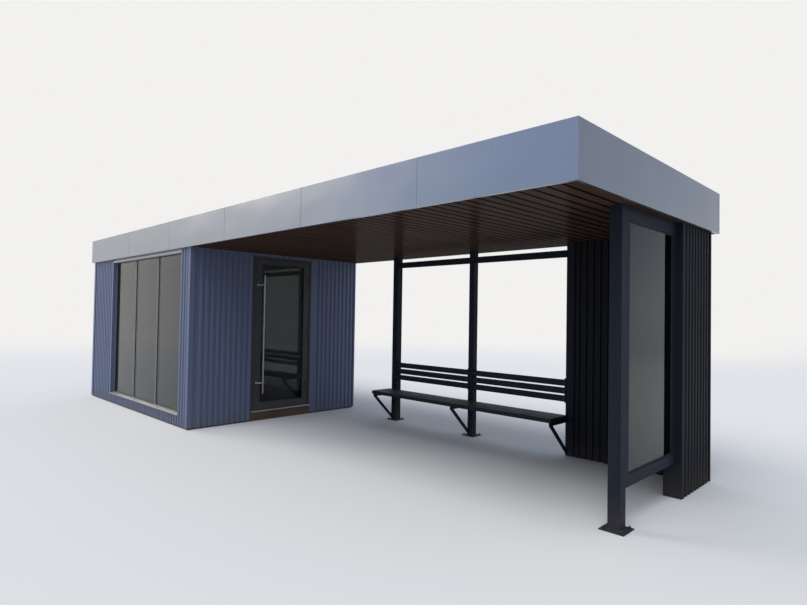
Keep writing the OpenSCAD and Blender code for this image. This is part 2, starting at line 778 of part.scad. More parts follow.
module rear_rails() {
  z1 = clear_height - rail_drop;
  color(steel_slate) for (i = [0, 1])
    block([post_x[i] + post_size[i], post_line, z1 - rail_height],
          [post_x[i + 1], post_line + rail_depth, z1]);
}

// Bench
module bench_seat() {
  color("#22252d") for (i = [0 : plank_count - 1])
    translate([post_x[0] - seat_overhang, seat_y0 + i * (plank_width + plank_gap), seat_base])
      cube([post_x[2] + seat_bearing - post_x[0] + seat_overhang, plank_width, seat_gauge]);
}
module bench_back() {
  color("#22252d") for (bay = [0, 1], i = [0 : slat_count - 1])
    block([post_x[bay] + post_size[bay] + slat_end_gap, post_line, back_low + i * slat_pitch],
          [post_x[bay + 1] - slat_end_gap, post_line + slat_gauge,
           back_low + i * slat_pitch + slat_height]);
}

// Side screen
module side_frame() {
  color(steel_slate) difference() {
    block([side_x1 - side_frame_depth, front_post_y1, side_bottom],
          [side_x1, pier_y0, clear_height]);
    block([side_x1 - side_frame_depth - cut, front_post_y1 + side_stile, side_glass_z0],
          [side_x1 + cut, pier_y0 - side_stile, side_glass_z1]);
  }
}
module side_glass() {
  mid = side_x1 - side_frame_depth / 2;
  color("#5c666b", 0.6)
    block([mid - side_glass_gauge / 2, front_post_y1 + side_stile, side_glass_z0],
          [mid + side_glass_gauge / 2, pier_y0 - side_stile, side_glass_z1]);
}

// Rear screen wall and pier
module screen_wall() {
  color("#2a303c") block([screen_core_x0, screen_core_y0, 0],
                         [pier_core_x0, screen_core_y1, clear_height]);
}
module pier() {
  color("#2a303c") block([pier_core_x0, pier_core_y0, 0],
                         [pier_core_x1, screen_core_y1, clear_height]);
}
module corner_wall_cladding() {
  color("#282e38") {
    sheet_facing_front(screen_core_x0, pier_x0, screen_core_y0, screen_core_x0, corner_wall_gap);
    sheet_facing_rear(screen_core_x0, pier_x1 - rear_corner_flange, screen_core_y1,
                      screen_core_x0, corner_wall_gap);
    sheet_facing_right(pier_core_y0, screen_y1 - rear_corner_flange, pier_core_x1,
                       pier_core_y0 - rib_valley / 2, corner_wall_gap);
    sheet_facing_left(pier_core_y0, screen_core_y0 - cladding_depth, pier_core_x0,
                      pier_core_y0 - rib_valley / 2, corner_wall_gap);
    corner_angle(pier_x1, screen_y1, 1, 1, rear_corner_flange, corner_wall_gap);
    block([pier_x0, pier_y0, corner_wall_gap], [pier_x1, pier_core_y0, clear_height]);
    block([screen_x0, post_line, corner_wall_gap], [screen_core_x0, screen_y1, clear_height]);
  }
}

kiosk_floor();
front_wall_left();
front_wall_right();
front_wall_below_window();
front_wall_above_window();
left_wall();
rear_wall();
door_wall_front();
door_wall_rear();
door_wall_above_door();
front_cladding();
door_side_cladding();
left_cladding();
rear_cladding();
corner_flashings();
window_frame();
window_glass();
window_flashings();
door_frame();
door_threshold();
door_leaf();
door_glass();
door_handle();
hinge_sockets();
hinge_knuckles();
roof_frame();
roof_deck();
ceiling_boards();
kiosk_ceiling();
fascia_front();
fascia_rear();
fascia_left();
fascia_right();
post_front();
post_rear_left();
post_rear_middle();
post_rear_right();
rear_rails();
bench_seat();
bench_back();
side_frame();
side_glass();
screen_wall();
pier();
corner_wall_cladding();
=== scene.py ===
# %% [markdown]
# A bus shelter in folded and ribbed sheet metal: a long flat roof, a glazed kiosk under its left
# half and a bench under its right half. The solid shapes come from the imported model. This lesson
# gives them their finishes, rounds their edges and adds the small things that a fitter adds last:
# screws, bolts, weld beads, gaskets, the ribs of the threshold and the laps of the roof covering.

# %% Load the solid model
import json
import math

import bpy
from mathutils import Matrix, Vector
from mathutils.bvhtree import BVHTree


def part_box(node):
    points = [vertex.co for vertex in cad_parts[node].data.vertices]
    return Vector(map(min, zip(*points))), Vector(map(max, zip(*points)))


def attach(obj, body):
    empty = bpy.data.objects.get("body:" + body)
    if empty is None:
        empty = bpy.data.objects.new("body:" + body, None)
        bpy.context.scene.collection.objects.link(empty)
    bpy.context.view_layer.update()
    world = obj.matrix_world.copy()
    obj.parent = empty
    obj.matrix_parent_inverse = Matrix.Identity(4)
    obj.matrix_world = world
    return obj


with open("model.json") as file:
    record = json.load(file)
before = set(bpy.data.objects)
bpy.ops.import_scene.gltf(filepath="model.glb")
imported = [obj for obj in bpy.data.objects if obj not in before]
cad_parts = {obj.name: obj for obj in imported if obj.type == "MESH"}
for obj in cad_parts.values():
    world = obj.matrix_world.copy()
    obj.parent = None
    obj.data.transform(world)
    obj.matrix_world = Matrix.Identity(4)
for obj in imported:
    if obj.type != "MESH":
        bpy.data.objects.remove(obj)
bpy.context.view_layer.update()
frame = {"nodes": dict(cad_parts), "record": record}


def rounded(values):
    """Numbers as they are printed: metres to the millimetre."""
    return [round(value, 3) for value in values]


# %% [markdown]
# The camera stands where the photograph was taken: near the right end, at eye height, looking left
# along the roof. A camera is a matrix of three directions, right, up and backwards, and a place.
# Building it from a yaw, a pitch and a roll keeps the numbers readable, where the last two are the
# small tilts of a camera that is held by hand.

# %% Camera
EYE = Vector((6.3655, -4.5756, 1.5587))
YAW, PITCH, ROLL = (math.radians(angle) for angle in (-44.780, 1.233, 0.935))
SENSOR_WIDTH = 36
FOCAL_PIXELS = 552.17
IMAGE_WIDTH = 807

ahead = Vector((math.sin(YAW) * math.cos(PITCH), math.cos(YAW) * math.cos(PITCH), math.sin(PITCH)))
level_right = Vector((math.cos(YAW), -math.sin(YAW), 0))
level_up = level_right.cross(ahead)
right = math.cos(ROLL) * level_right + math.sin(ROLL) * level_up
up = math.cos(ROLL) * level_up - math.sin(ROLL) * level_right

lens = bpy.data.cameras.new("camera")
lens.sensor_width = SENSOR_WIDTH
lens.lens = FOCAL_PIXELS / IMAGE_WIDTH * SENSOR_WIDTH
camera = bpy.data.objects.new("camera", lens)
camera.matrix_world = Matrix.Translation(EYE) @ Matrix((right, up, -ahead)).transposed().to_4x4()
bpy.context.scene.collection.objects.link(camera)
bpy.context.scene.camera = camera
print("lens", round(lens.lens, 2), "mm")

# %% [markdown]
# Every finish below is a small network of nodes. Wiring nodes one by one hides the idea, so two
# small classes do it. A Socket stands for a number that varies over the surface, and Python's own
# operators on it add Math nodes, so that 1 - mask reads as it is meant. A Paint is one material in
# the making, and its method node() adds any other node: the settings first, then the inputs.

# %% Shader sums as Python expressions
class Socket:
    """An output of a node. Arithmetic on it adds Math nodes."""

    def __init__(self, paint, output):
        self.paint = paint
        self.output = output

    def maths(self, operation, first, second):
        return self.paint.node("ShaderNodeMath", {"operation": operation}, {0: first, 1: second})

    def __add__(self, other):
        return self.maths("ADD", self, other)

    def __radd__(self, other):
        return self.maths("ADD", other, self)

    def __sub__(self, other):
        return self.maths("SUBTRACT", self, other)

    def __rsub__(self, other):
        return self.maths("SUBTRACT", other, self)

    def __mul__(self, other):
        return self.maths("MULTIPLY", self, other)

    def __rmul__(self, other):
        return self.maths("MULTIPLY", other, self)

    def __truediv__(self, other):
        return self.maths("DIVIDE", self, other)

    def __rtruediv__(self, other):
        return self.maths("DIVIDE", other, self)

    def __gt__(self, other):
        return self.maths("GREATER_THAN", self, other)

    def __lt__(self, other):
        return self.maths("LESS_THAN", self, other)

    def part(self, name):
        """Another output of the same node."""
        return Socket(self.paint, self.output.node.outputs[name])


class Paint:
    """One node tree in the making."""

    def __init__(self, tree):
        self.tree = tree
        tree.nodes.clear()

    def node(self, kind, settings=None, inputs=None, output=0):
        """Adds any node. An input is a Socket to link or a plain value."""
        made = self.tree.nodes.new(kind)
        for name, value in (settings or {}).items():
            setattr(made, name, value)
        for name, value in (inputs or {}).items():
            if isinstance(value, Socket):
                self.tree.links.new(value.output, made.inputs[name])
            else:
                made.inputs[name].default_value = value
        return Socket(self, made.outputs[output]) if len(made.outputs) else None

    def out(self, shader, kind="ShaderNodeOutputMaterial"):
        """Ends the tree in that shader."""
        self.node(kind, inputs={"Surface": shader})

    def mix(self, first, second, factor):
        """Mixes two colours."""
        return self.node("ShaderNodeMix", {"data_type": "RGBA"}, {0: factor, 6: first, 7: second}, 2)

    def toned(self, colour, tone):
        """The colour times tone, which counts as 1 where it is more."""
        return self.mix((0, 0, 0, 1), colour, tone)

    def place(self, stretch=(1, 1, 1)):
        """The point on the object in metres, each axis times its own number."""
        where = self.node("ShaderNodeTexCoord", output="Object")
        return self.node("ShaderNodeVectorMath", {"operation": "MULTIPLY"}, {0: where, 1: stretch})

    def axis(self, name):
        """One coordinate of the point on the object, in metres."""
        return self.node("ShaderNodeSeparateXYZ", inputs={0: self.place()}, output=name)

    def noise(self, stretch, detail, roughness=0.55):
        """Cloudy noise from 0 to 1. stretch is how many clouds there are to a metre on each axis."""
        inputs = {"Vector": self.place(stretch), "Scale": 1.0, "Detail": detail, "Roughness": roughness}
        return self.node("ShaderNodeTexNoise", inputs=inputs)

    def step_tone(self, value):
        """A chance number from 0 to 1, a new one at each whole number that value passes."""
        whole = self.node("ShaderNodeMath", {"operation": "FLOOR"}, {0: value})
        return self.node("ShaderNodeTexWhiteNoise", {"noise_dimensions": "1D"}, {"W": whole})

    def fade(self, value, start, end):
        """0 where value is at start, 1 where it is at end, smooth in between."""
        settings = {"interpolation_type": "SMOOTHSTEP"}
        return self.node("ShaderNodeMapRange", settings, {"Value": value, "From Min": start, "From Max": end})

    def bump(self, height, distance, strength=1.0):
        """A normal that leans as the height does. distance is in metres."""
        inputs = {"Height": height, "Distance": distance, "Strength": strength}
        return self.node("ShaderNodeBump", inputs=inputs)


# %% [markdown]
# Colours are written as they are read off a screen. Blender works in light values, where the grey
# that looks half bright is about a fifth of white, so one function turns the first into the second.

# %% Colours and new materials
def srgb(red, green, blue):
    """A colour as it is read off a screen, 0 to 255, in the light values that Blender works in."""
    def light(value):
        value = value / 255
        return value / 12.92 if value <= 0.04045 else ((value + 0.055) / 1.055) ** 2.4
    return (light(red), light(green), light(blue), 1.0)


def new_paint(name):
    """A new material and the Paint that fills it."""
    material = bpy.data.materials.new(name)
    material.use_nodes = True
    return material, Paint(material.node_tree)


print("mid grey", rounded(srgb(128, 128, 128)))

# %% [markdown]
# The studio is plain: a pale floor that runs out to the colour of the backdrop, an even sky and
# two soft suns. Soft boxes would do as well, but a sun lights both ends of a 9.5 metre roof alike.
# The backdrop is pale where the camera looks. On the other sides it is a light grey below eye level
# and turns blue or a darker grey above it. Silver metal shows little but its surroundings, so this
# slow change gives the long fascia a part of its run from warm light grey to blue grey.

# %% Backdrop
BACKDROP = srgb(242, 241, 240)
BLUE_SIDE = srgb(156, 183, 230)
GREY_SIDE = srgb(164, 173, 190)
LOW_SIDE = srgb(206, 211, 219)
PALE_YAW, PALE_TURN, BLUE_TURN = (math.radians(angle) for angle in (-58, 52, 84))
BLUE_UNTIL, GREY_FROM = -0.3, 0.4
HIGH_FROM = 0.2


def curtain(paint, way):
    """The backdrop's colour in a direction that has length 1."""
    pale_way = (math.sin(PALE_YAW), math.cos(PALE_YAW), 0)
    facing = paint.node("ShaderNodeVectorMath", {"operation": "DOT_PRODUCT"}, {0: way, 1: pale_way}, "Value")
    to_right = paint.node("ShaderNodeSeparateXYZ", inputs={0: way}, output="X")
    upwards = paint.node("ShaderNodeSeparateXYZ", inputs={0: way}, output="Z")
    high_side = paint.mix(BLUE_SIDE, GREY_SIDE, paint.fade(to_right, BLUE_UNTIL, GREY_FROM))
    far_side = paint.mix(LOW_SIDE, high_side, paint.fade(upwards, 0.0, HIGH_FROM))
    return paint.mix(far_side, BACKDROP, paint.fade(facing, math.cos(BLUE_TURN), math.cos(PALE_TURN)))


def on_show(paint):
    """1 for what the camera sees, also in a mirror or through glass, and 0 for light on the shelter."""
    ray = paint.node("ShaderNodeLightPath", output="Is Camera Ray")
    return paint.node("ShaderNodeMath", {"operation": "ADD", "use_clamp": True},
                      {0: ray + ray.part("Is Glossy Ray"), 1: ray.part("Is Transmission Ray")})


print("backdrop pale for", round(math.degrees(PALE_TURN)), "degrees to each side")

# %% Sky and suns
SKY = srgb(214, 224, 240)
SKY_STRENGTH = 0.68

world = bpy.data.worlds.new("studio")
world.use_nodes = True
bpy.context.scene.world = world
bpy.context.scene.view_settings.view_transform = "Standard"

sky = Paint(world.node_tree)
lit = sky.node("ShaderNodeBackground", inputs={"Color": SKY, "Strength": SKY_STRENGTH})
shown = sky.node("ShaderNodeBackground", inputs={
    "Color": curtain(sky, sky.node("ShaderNodeTexCoord", output="Generated")), "Strength": 1.0})
sky.out(sky.node("ShaderNodeMixShader", inputs={0: on_show(sky), 1: lit, 2: shown}),
        "ShaderNodeOutputWorld")


def sun(name, towards, energy, colour, softness):
    """A distant lamp. towards points from the shelter to the lamp, and softness is its width in degrees."""
    lamp = bpy.data.lights.new(name, "SUN")
    lamp.energy = energy
    lamp.color = colour
    lamp.angle = math.radians(softness)
    holder = bpy.data.objects.new(name, lamp)
    holder.rotation_mode = "QUATERNION"
    holder.rotation_quaternion = Vector(towards).to_track_quat("Z", "Y")
    bpy.context.scene.collection.objects.link(holder)
    print("sun", name, energy)


sun("key", towards=(0.08, -0.48, 0.87), energy=1.4, colour=(1.0, 0.98, 0.96), softness=40)
sun("low", towards=(-0.84, -0.28, 0.46), energy=1.0, colour=(1.0, 0.86, 0.68), softness=30)

# %% [markdown]
# The floor is one large flat disc. A small one would end in a line across the picture. Near the
# shelter it is matt and takes the shadow, and farther out it fades into the backdrop's own colour.
# The floor also throws light up at the ceiling, and for that light it has a colour of its own.

# %% Pale floor
FLOOR_RADIUS = 400
FLOOR_SIDES = 96
FLOOR_SHOWN = srgb(226, 227, 228)
FLOOR_BOUNCE = srgb(186, 183, 180)
FADE_FROM, FADE_TO = 9, 26

rim = [(FLOOR_RADIUS * math.cos(a), FLOOR_RADIUS * math.sin(a), 0)
       for a in (math.tau * i / FLOOR_SIDES for i in range(FLOOR_SIDES))]
floor_mesh = bpy.data.meshes.new("floor")
floor_mesh.from_pydata(rim, [], [tuple(range(FLOOR_SIDES))])
floor = bpy.data.objects.new("floor", floor_mesh)
bpy.context.scene.collection.objects.link(floor)

floor_material, p = new_paint("studio floor")
seen = on_show(p)
matt = p.node("ShaderNodeBsdfDiffuse", inputs={"Color": p.mix(FLOOR_BOUNCE, FLOOR_SHOWN, seen)})
outwards = p.node("ShaderNodeVectorMath", {"operation": "NORMALIZE"}, {0: p.place()})
glow = p.node("ShaderNodeEmission", inputs={"Color": curtain(p, outwards)})
distance = p.node("ShaderNodeVectorMath", {"operation": "LENGTH"}, {0: p.place()}, "Value")
far = p.fade(distance, FADE_FROM, FADE_TO) * seen
p.out(p.node("ShaderNodeMixShader", inputs={0: far, 1: matt, 2: glow}))
floor_mesh.materials.append(floor_material)
print("floor", FLOOR_RADIUS, "m")

# %% [markdown]
# Most of the shelter is coated sheet metal. One colour is never enough: a coat has a faint orange
# peel, each sheet is a shade off its neighbour, rain leaves thin upright streaks, and splashes leave
# dust near the ground. At the foot of the cladding the coat is painted black, a painted shadow of the
# gap under the sheets. One function paints all the coats, with its amounts as arguments.

# %% Coated metal
PEEL_GRAIN = (900, 900, 900)
CLOUDS = 0.05
DUST = srgb(122, 112, 100)
DUST_TOP = 0.3
# Painted shadow: below the height FOOT the coat turns black, for the gap under the cladding.
FOOT = 0.017
FOOT_SHADOW = srgb(26, 26, 27)


def coated(name, colour, rough, shine=0.5, sheet=1.0, streak=0.1, dust=0.1, peel=0.0002, foot=FOOT):
    """Paint or powder coat on metal. sheet is a sheet's width in metres, streak and dust are how much
    the rain and the splashes show, and below the height foot the coat is painted black, a painted
    shadow of the gap under the cladding."""
    material, p = new_paint(name)
    shade = p.step_tone((p.axis("X") + p.axis("Y")) / sheet)
    cloud = p.noise((1.1, 1.1, 0.7), 4)
    rain = p.fade(p.noise((26, 26, 0.7), 3), 0.52, 0.8)
    tone = 1.0 + (shade - 0.5) * CLOUDS + (cloud - 0.5) * (2 * CLOUDS) - rain * streak
    # Painted shadow: the colour is black below the height foot, for the gap under the cladding.
    coat = p.mix(FOOT_SHADOW, p.toned(colour, tone), p.axis("Z") > foot)
    splash = p.fade(p.axis("Z") + p.noise((9, 9, 9), 4) * (0.6 * DUST_TOP), DUST_TOP * 1.3, DUST_TOP * 0.3)
    wear = rough + (cloud - 0.5) * 0.12 + rain * 0.08 + splash * (0.5 * dust)
    p.out(p.node("ShaderNodeBsdfPrincipled", inputs={
        "Base Color": p.mix(coat, DUST, splash * dust), "Roughness": wear, "Specular IOR Level": shine,
        "Normal": p.bump(p.noise(PEEL_GRAIN, 2), peel)}))
    return material


finish = {
    "kiosk_cladding": coated("blue grey coat", srgb(102, 114, 145), 0.45, 0.4, sheet=1.05, dust=0.25),
    "dark_cladding": coated("dark blue coat", srgb(36, 38, 43), 0.55, 0.08, sheet=1.05, dust=0.12),
    "post_steel": coated("dark powder coat", srgb(36, 41, 53), 0.5, 0.08, streak=0.06, dust=0.15,
                         peel=0.0004, foot=0),
    "window_frame": coated("frame coat", srgb(94, 99, 105), 0.4, 0.4, streak=0.05),
    "door_metal": coated("door coat", srgb(64, 64, 68), 0.45, 0.4, streak=0.05, dust=0.2),
    "dark_panel": coated("dark panel coat", srgb(30, 34, 41), 0.5, 0.3, streak=0.08, dust=0.12),
    "wall_panel": coated("inner wall coat", srgb(176, 178, 178), 0.55, streak=0.0),
    "kiosk_ceiling": coated("inner ceiling coat", srgb(196, 198, 198), 0.6, streak=0.0, dust=0.0),
}
print(len(finish), "coats")

# %% [markdown]
# The fascia is silver: metal flakes in a clear lacquer over folded sheet. It mirrors the sky in a
# soft way, so it needs a metallic shader with a fairly wide gloss. Wide thin sheet is never quite
# flat, and the slow waves in its normal bend the gloss as the real panel does.

# %% Silver fascia
PANEL_START, PANEL_LENGTH = -1.32, 1.57
STREAKS_FROM, STREAKS_FULL = 2.55, 2.78

material, p = new_paint("silver coat")
shade = p.step_tone((p.axis("X") - PANEL_START) / PANEL_LENGTH)
flake = p.noise((700, 700, 700), 1)
rain = p.fade(p.noise((22, 22, 0.9), 3), 0.5, 0.8)
below_coping = p.fade(p.axis("Z"), STREAKS_FROM, STREAKS_FULL)
cloud = p.noise((0.8, 0.8, 2.0), 3)
tone = 1.0 + (shade - 0.5) * 0.05 + (cloud - 0.5) * 0.08 + (flake - 0.5) * 0.06 - rain * below_coping * 0.10
waves = p.noise((1.3, 1.3, 2.4), 1)
p.out(p.node("ShaderNodeBsdfPrincipled", inputs={
    "Base Color": p.toned(srgb(160, 165, 172), tone), "Metallic": 0.9,
    "Roughness": 0.3 + (cloud - 0.5) * 0.1 + rain * 0.03,
    "Normal": p.bump(waves, 0.02, 0.5)}))
finish["fascia"] = material
print("fascia sheets", PANEL_LENGTH, "m long")

# %% [markdown]
# The door's pull bar, the window's sill and head, the threshold and the bolts are bare metal.
# Brushing and rolling leave fine lines one way. Cut lines would need a mesh of millions of faces,
# but noise drawn out along one axis gives such lines, and tone, gloss and height share them.

# %% Bare metals
LINE_DEPTH = 0.0001


def bare(name, colour, rough, grain, metallic=1.0):
    """Bare metal with fine lines. grain is how many lines there are to a metre on each axis."""
    material, p = new_paint(name)
    lines = p.noise(grain, 2, 0.6)
    stain = p.noise((7, 7, 5), 4)
    marks = (lines - 0.5) * 0.12
    p.out(p.node("ShaderNodeBsdfPrincipled", inputs={
        "Base Color": p.toned(colour, 1.0 + marks + (stain - 0.5) * 0.14), "Metallic": metallic,
        "Roughness": rough + marks + (stain - 0.5) * 0.14,
        "Normal": p.bump(lines, LINE_DEPTH)}))
    return material


finish["stainless"] = bare("brushed stainless", srgb(150, 152, 154), 0.32, (900, 900, 8))
finish["light_flashing"] = bare("light flashing", srgb(164, 166, 170), 0.42, (12, 300, 300), 0.5)
finish["threshold"] = bare("aluminium threshold", srgb(196, 197, 196), 0.4, (300, 6, 300))
galvanised = bare("galvanised steel", srgb(92, 95, 99), 0.5, (160, 160, 160))
print("bare metal:", ", ".join(("stainless", "light_flashing", "threshold")), "and", galvanised.name)

# %% [markdown]
# The ceiling over the bench is lined with brown boards. Along each board runs a long grain, and each
# board has its own tone. The floor of the joint between two boards is painted near black as painted
# shade in the deep groove. The dark lines in the photograph look wider than these joints, so painted
# shade also darkens the boards' edges: PINGPONG turns the place along the roof into the distance to
# the nearest joint.

# %% Ceiling boards
BOARD_START, BOARD_PITCH = -0.68, 0.1105
GROOVE_HEIGHT = 2.402
EDGE_SHADE_FROM, EDGE_SHADE_FULL = 0.024, 0.007

material, p = new_paint("brown boards")
along = p.axis("X") - BOARD_START
grain = p.noise((90, 1.6, 90), 5, 0.65)
pores = p.noise((420, 5, 420), 2)
warm = p.mix(srgb(87, 70, 62), srgb(76, 61, 55), p.step_tone(along / BOARD_PITCH))
grained = p.mix(warm, srgb(57, 46, 42), p.fade(grain, 0.42, 0.72) * 0.55)
to_joint = p.node("ShaderNodeMath", {"operation": "PINGPONG"}, {0: along, 1: BOARD_PITCH / 2})
# Painted shade: the boards turn dark towards each joint.
edge_shaded_wood = p.mix(grained, srgb(26, 20, 19), p.fade(to_joint, EDGE_SHADE_FROM, EDGE_SHADE_FULL) * 0.85)
# Painted shade: the groove's floor above GROOVE_HEIGHT is painted near black.
shaded_groove = p.axis("Z") > GROOVE_HEIGHT
p.out(p.node("ShaderNodeBsdfPrincipled", inputs={
    "Base Color": p.mix(edge_shaded_wood, srgb(20, 16, 15), shaded_groove),
    "Roughness": 0.5 + (pores - 0.5) * 0.12 + shaded_groove * 0.3,
    "Specular IOR Level": 0.0, "Coat Weight": 0.05, "Coat Roughness": 0.2,
    "Normal": p.bump(grain + pores * 0.4, 0.0006)}))
finish["ceiling_boards"] = material
print("ceiling boards every", BOARD_PITCH * 1000, "mm")

# %% [markdown]
# Three more surfaces have a grain or a crumb of their own. The bench's planks have a faint grain
# along them and are rubbed paler in patches. The kiosk's floor is boarded and walked on. The roof
# covering is a gritty sheet with patches of silt. Each is two noises: a fine one that gives the
# grain and the bump, and a wide one that gives the wear.

# %% Bench, floor and roof covering
material, p = new_paint("bench coat")
grain = p.noise((3, 120, 120), 4, 0.6)
rub = p.noise((5, 5, 5), 4)
slate = p.mix(srgb(40, 44, 55), srgb(32, 36, 46), p.fade(grain, 0.4, 0.7))
p.out(p.node("ShaderNodeBsdfPrincipled", inputs={
    "Base Color": p.mix(slate, srgb(60, 62, 68), p.fade(rub, 0.56, 0.8) * 0.3),
    "Roughness": 0.6 + (rub - 0.5) * 0.2, "Specular IOR Level": 0.2,
    "Normal": p.bump(grain, 0.0008)}))
finish["bench"] = material

material, p = new_paint("floor boards")
grain = p.noise((60, 2.5, 60), 4, 0.6)
wear = p.noise((4, 4, 4), 4)
boards = p.mix(srgb(104, 82, 66), srgb(78, 60, 48), p.fade(grain, 0.4, 0.7))
p.out(p.node("ShaderNodeBsdfPrincipled", inputs={
    "Base Color": p.mix(boards, srgb(70, 64, 58), p.fade(wear, 0.45, 0.75) * 0.6),
    "Roughness": 0.66 + (wear - 0.5) * 0.2, "Normal": p.bump(grain, 0.0008)}))
finish["floor"] = material

material, p = new_paint("roof membrane")
crumb = p.noise((600, 600, 600), 2)
pond = p.noise((1.2, 1.6, 1.0), 5)
sheet = p.mix(srgb(112, 115, 118), srgb(100, 102, 104), p.fade(pond, 0.4, 0.7))
silt = p.mix(sheet, srgb(116, 112, 105), p.fade(pond, 0.6, 0.75) * 0.25)
p.out(p.node("ShaderNodeBsdfPrincipled", inputs={
    "Base Color": p.mix(silt, srgb(70, 72, 74), (crumb - 0.4) * 0.5),
    "Roughness": 0.8 + (crumb - 0.5) * 0.15, "Normal": p.bump(crumb, 0.0008)}))
finish["roof_membrane"] = material
print(len(finish), "finishes so far")

# %% [markdown]
# Real panes show two things at once: what is behind them, a little darker, and a mirror image that
# grows as the pane is seen more from the side. A glass shader does both. Its shadow would be black,
# so shadow rays pass through a clear shader instead and the room behind the window gets its light.
# Real glass has an index of about 1.5. The lower ones here weaken the mirror image, to come nearer
# to the photograph.

# %% Glass and rubber
GLASS_ROUGH, GLASS_FILM = 0.02, 0.02


def pane(name, tint, through, index):
    """Glass of that tint. through tints the light that passes, and index is how much it bends light,
    which also sets how strong its mirror image is."""
    material, p = new_paint(name)
    haze = p.fade(p.noise((2.2, 2.2, 1.3), 4), 0.4, 0.8)
    clear = p.node("ShaderNodeBsdfPrincipled", inputs={
        "Base Color": tint, "Roughness": GLASS_ROUGH + haze * GLASS_FILM, "Transmission Weight": 1.0,
        "IOR": index})
    passing = p.node("ShaderNodeBsdfTransparent", inputs={"Color": through})
    shadow = p.node("ShaderNodeLightPath", output="Is Shadow Ray")
    p.out(p.node("ShaderNodeMixShader", inputs={0: shadow, 1: clear, 2: passing}))
    return material


finish["window_glass"] = pane("window glass", srgb(166, 171, 166), srgb(200, 204, 202), 1.38)
finish["side_glass"] = pane("side glass", srgb(88, 90, 84), srgb(150, 154, 151), 1.33)

rubber, p = new_paint("black rubber")
chalk = p.noise((40, 40, 40), 3)
p.out(p.node("ShaderNodeBsdfPrincipled", inputs={
    "Base Color": p.mix(srgb(24, 24, 26), srgb(46, 46, 48), p.fade(chalk, 0.4, 0.8)),
    "Roughness": 0.7 + (chalk - 0.5) * 0.2, "Normal": p.bump(chalk, 0.0003)}))

for entry in frame["record"]["subparts"]:
    frame["nodes"][entry["node"]].material_slots[0].material = finish[entry["material_slot"]]
print(len(finish), "finishes on", len(frame["nodes"]), "solids")

# %% [markdown]
# Nothing made of metal has a knife edge: folds have a radius, tubes are rolled, boards are eased.
# A rounded edge also catches a line of light, and that line is what makes a model look solid. The
# solids arrive as triangles, so their doubled points are welded, flat regions are joined into whole
# faces, and only then does a bevel find the true edges. The mesh itself is left as it came.

# %% Rounded edges on every solid
MM = 0.001
EDGE = {"bench": 5, "floor": 3, "roof_membrane": 6, "window_glass": 1, "side_glass": 1, "wall_panel": 1,
        "kiosk_ceiling": 1, "threshold": 1.5, "stainless": 1.5, "light_flashing": 1, "ceiling_boards": 2,
        "kiosk_cladding": 2, "dark_cladding": 2, "door_metal": 1.5, "window_frame": 1.5, "fascia": 2,
        "post_steel": 3, "dark_panel": 3}

smooth = bpy.data.node_groups.new("smooth shading", "GeometryNodeTree")
smooth.interface.new_socket("Geometry", in_out="INPUT", socket_type="NodeSocketGeometry")
smooth.interface.new_socket("Geometry", in_out="OUTPUT", socket_type="NodeSocketGeometry")
steps = [smooth.nodes.new(kind)
         for kind in ("NodeGroupInput", "GeometryNodeSetShadeSmooth", "NodeGroupOutput")]
for first, second in zip(steps, steps[1:]):
    smooth.links.new(first.outputs[0], second.inputs[0])


def ease_edges(piece, radius):
    """Rounds the sharp edges of a piece without touching its mesh."""
    weld = piece.modifiers.new("weld", "WELD")
    weld.merge_threshold = 1e-5
    flat = piece.modifiers.new("whole faces", "DECIMATE")
    flat.decimate_type = "DISSOLVE"
    flat.angle_limit = math.radians(1)
    bevel = piece.modifiers.new("eased edges", "BEVEL")
    bevel.width = radius
    bevel.segments = 2
    bevel.limit_method = "ANGLE"
    bevel.angle_limit = math.radians(30)
    piece.modifiers.new("smooth", "NODES").node_group = smooth
    normals = piece.modifiers.new("flat faces stay flat", "WEIGHTED_NORMAL")
    normals.weight = 100


for entry in frame["record"]["subparts"]:
    ease_edges(frame["nodes"][entry["node"]], EDGE[entry["material_slot"]] * MM)
print("edges from", min(EDGE.values()), "to", max(EDGE.values()), "mm")

# %% [markdown]
# Small pieces are placed by touch: a straight line is sent at a solid, and the point where it meets
# the surface is where a screw or a gasket goes, so nothing floats or sinks. Typed places would do
# for one pack of the model, but not after a wall or a post has moved. The helper below keeps one
# search tree for each solid.

# %% Finding surfaces by touch
trees = {}


def touch(node, start, direction, reach=3.0):
    """The first point where a line from start meets the solid, or None."""
    if node not in trees:
        mesh = frame["nodes"][node].data
        trees[node] = BVHTree.FromPolygons([v.co for v in mesh.vertices], [f.vertices for f in mesh.polygons])
    return trees[node].ray_cast(Vector(start), Vector(direction), reach)[0]


def piece_from(name, points, faces, material, slot, body="shelter", smooth_faces=True):
    """A new mesh piece that rides on a body."""
    mesh = bpy.data.meshes.new(name)
    mesh.from_pydata(points, [], faces)
    mesh.validate()
    piece = bpy.data.objects.new(name, mesh)
    bpy.context.scene.collection.objects.link(piece)
    mesh.materials.append(material)
    if smooth_faces:
        mesh.polygons.foreach_set("use_smooth", [True] * len(mesh.polygons))
        mesh.set_sharp_from_angle(angle=math.radians(35))
    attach(piece, body)


print("touch finds the front of the kiosk at", rounded(touch("front_cladding", (-4.0, -3, 1), (0, 1, 0))))

# %% [markdown]
# A screw, a nut or a bolt head is a round or six-sided profile, stepped in towards its top. One
# function turns a list of rings, each a radius and a height, into a closed upright shape, and
# another puts many copies into one mesh, each turned to face its own way.

# %% Turned fixings
def in_metres(pairs):
    """Pairs of millimetres as pairs of metres."""
    return [(first * MM, second * MM) for first, second in pairs]


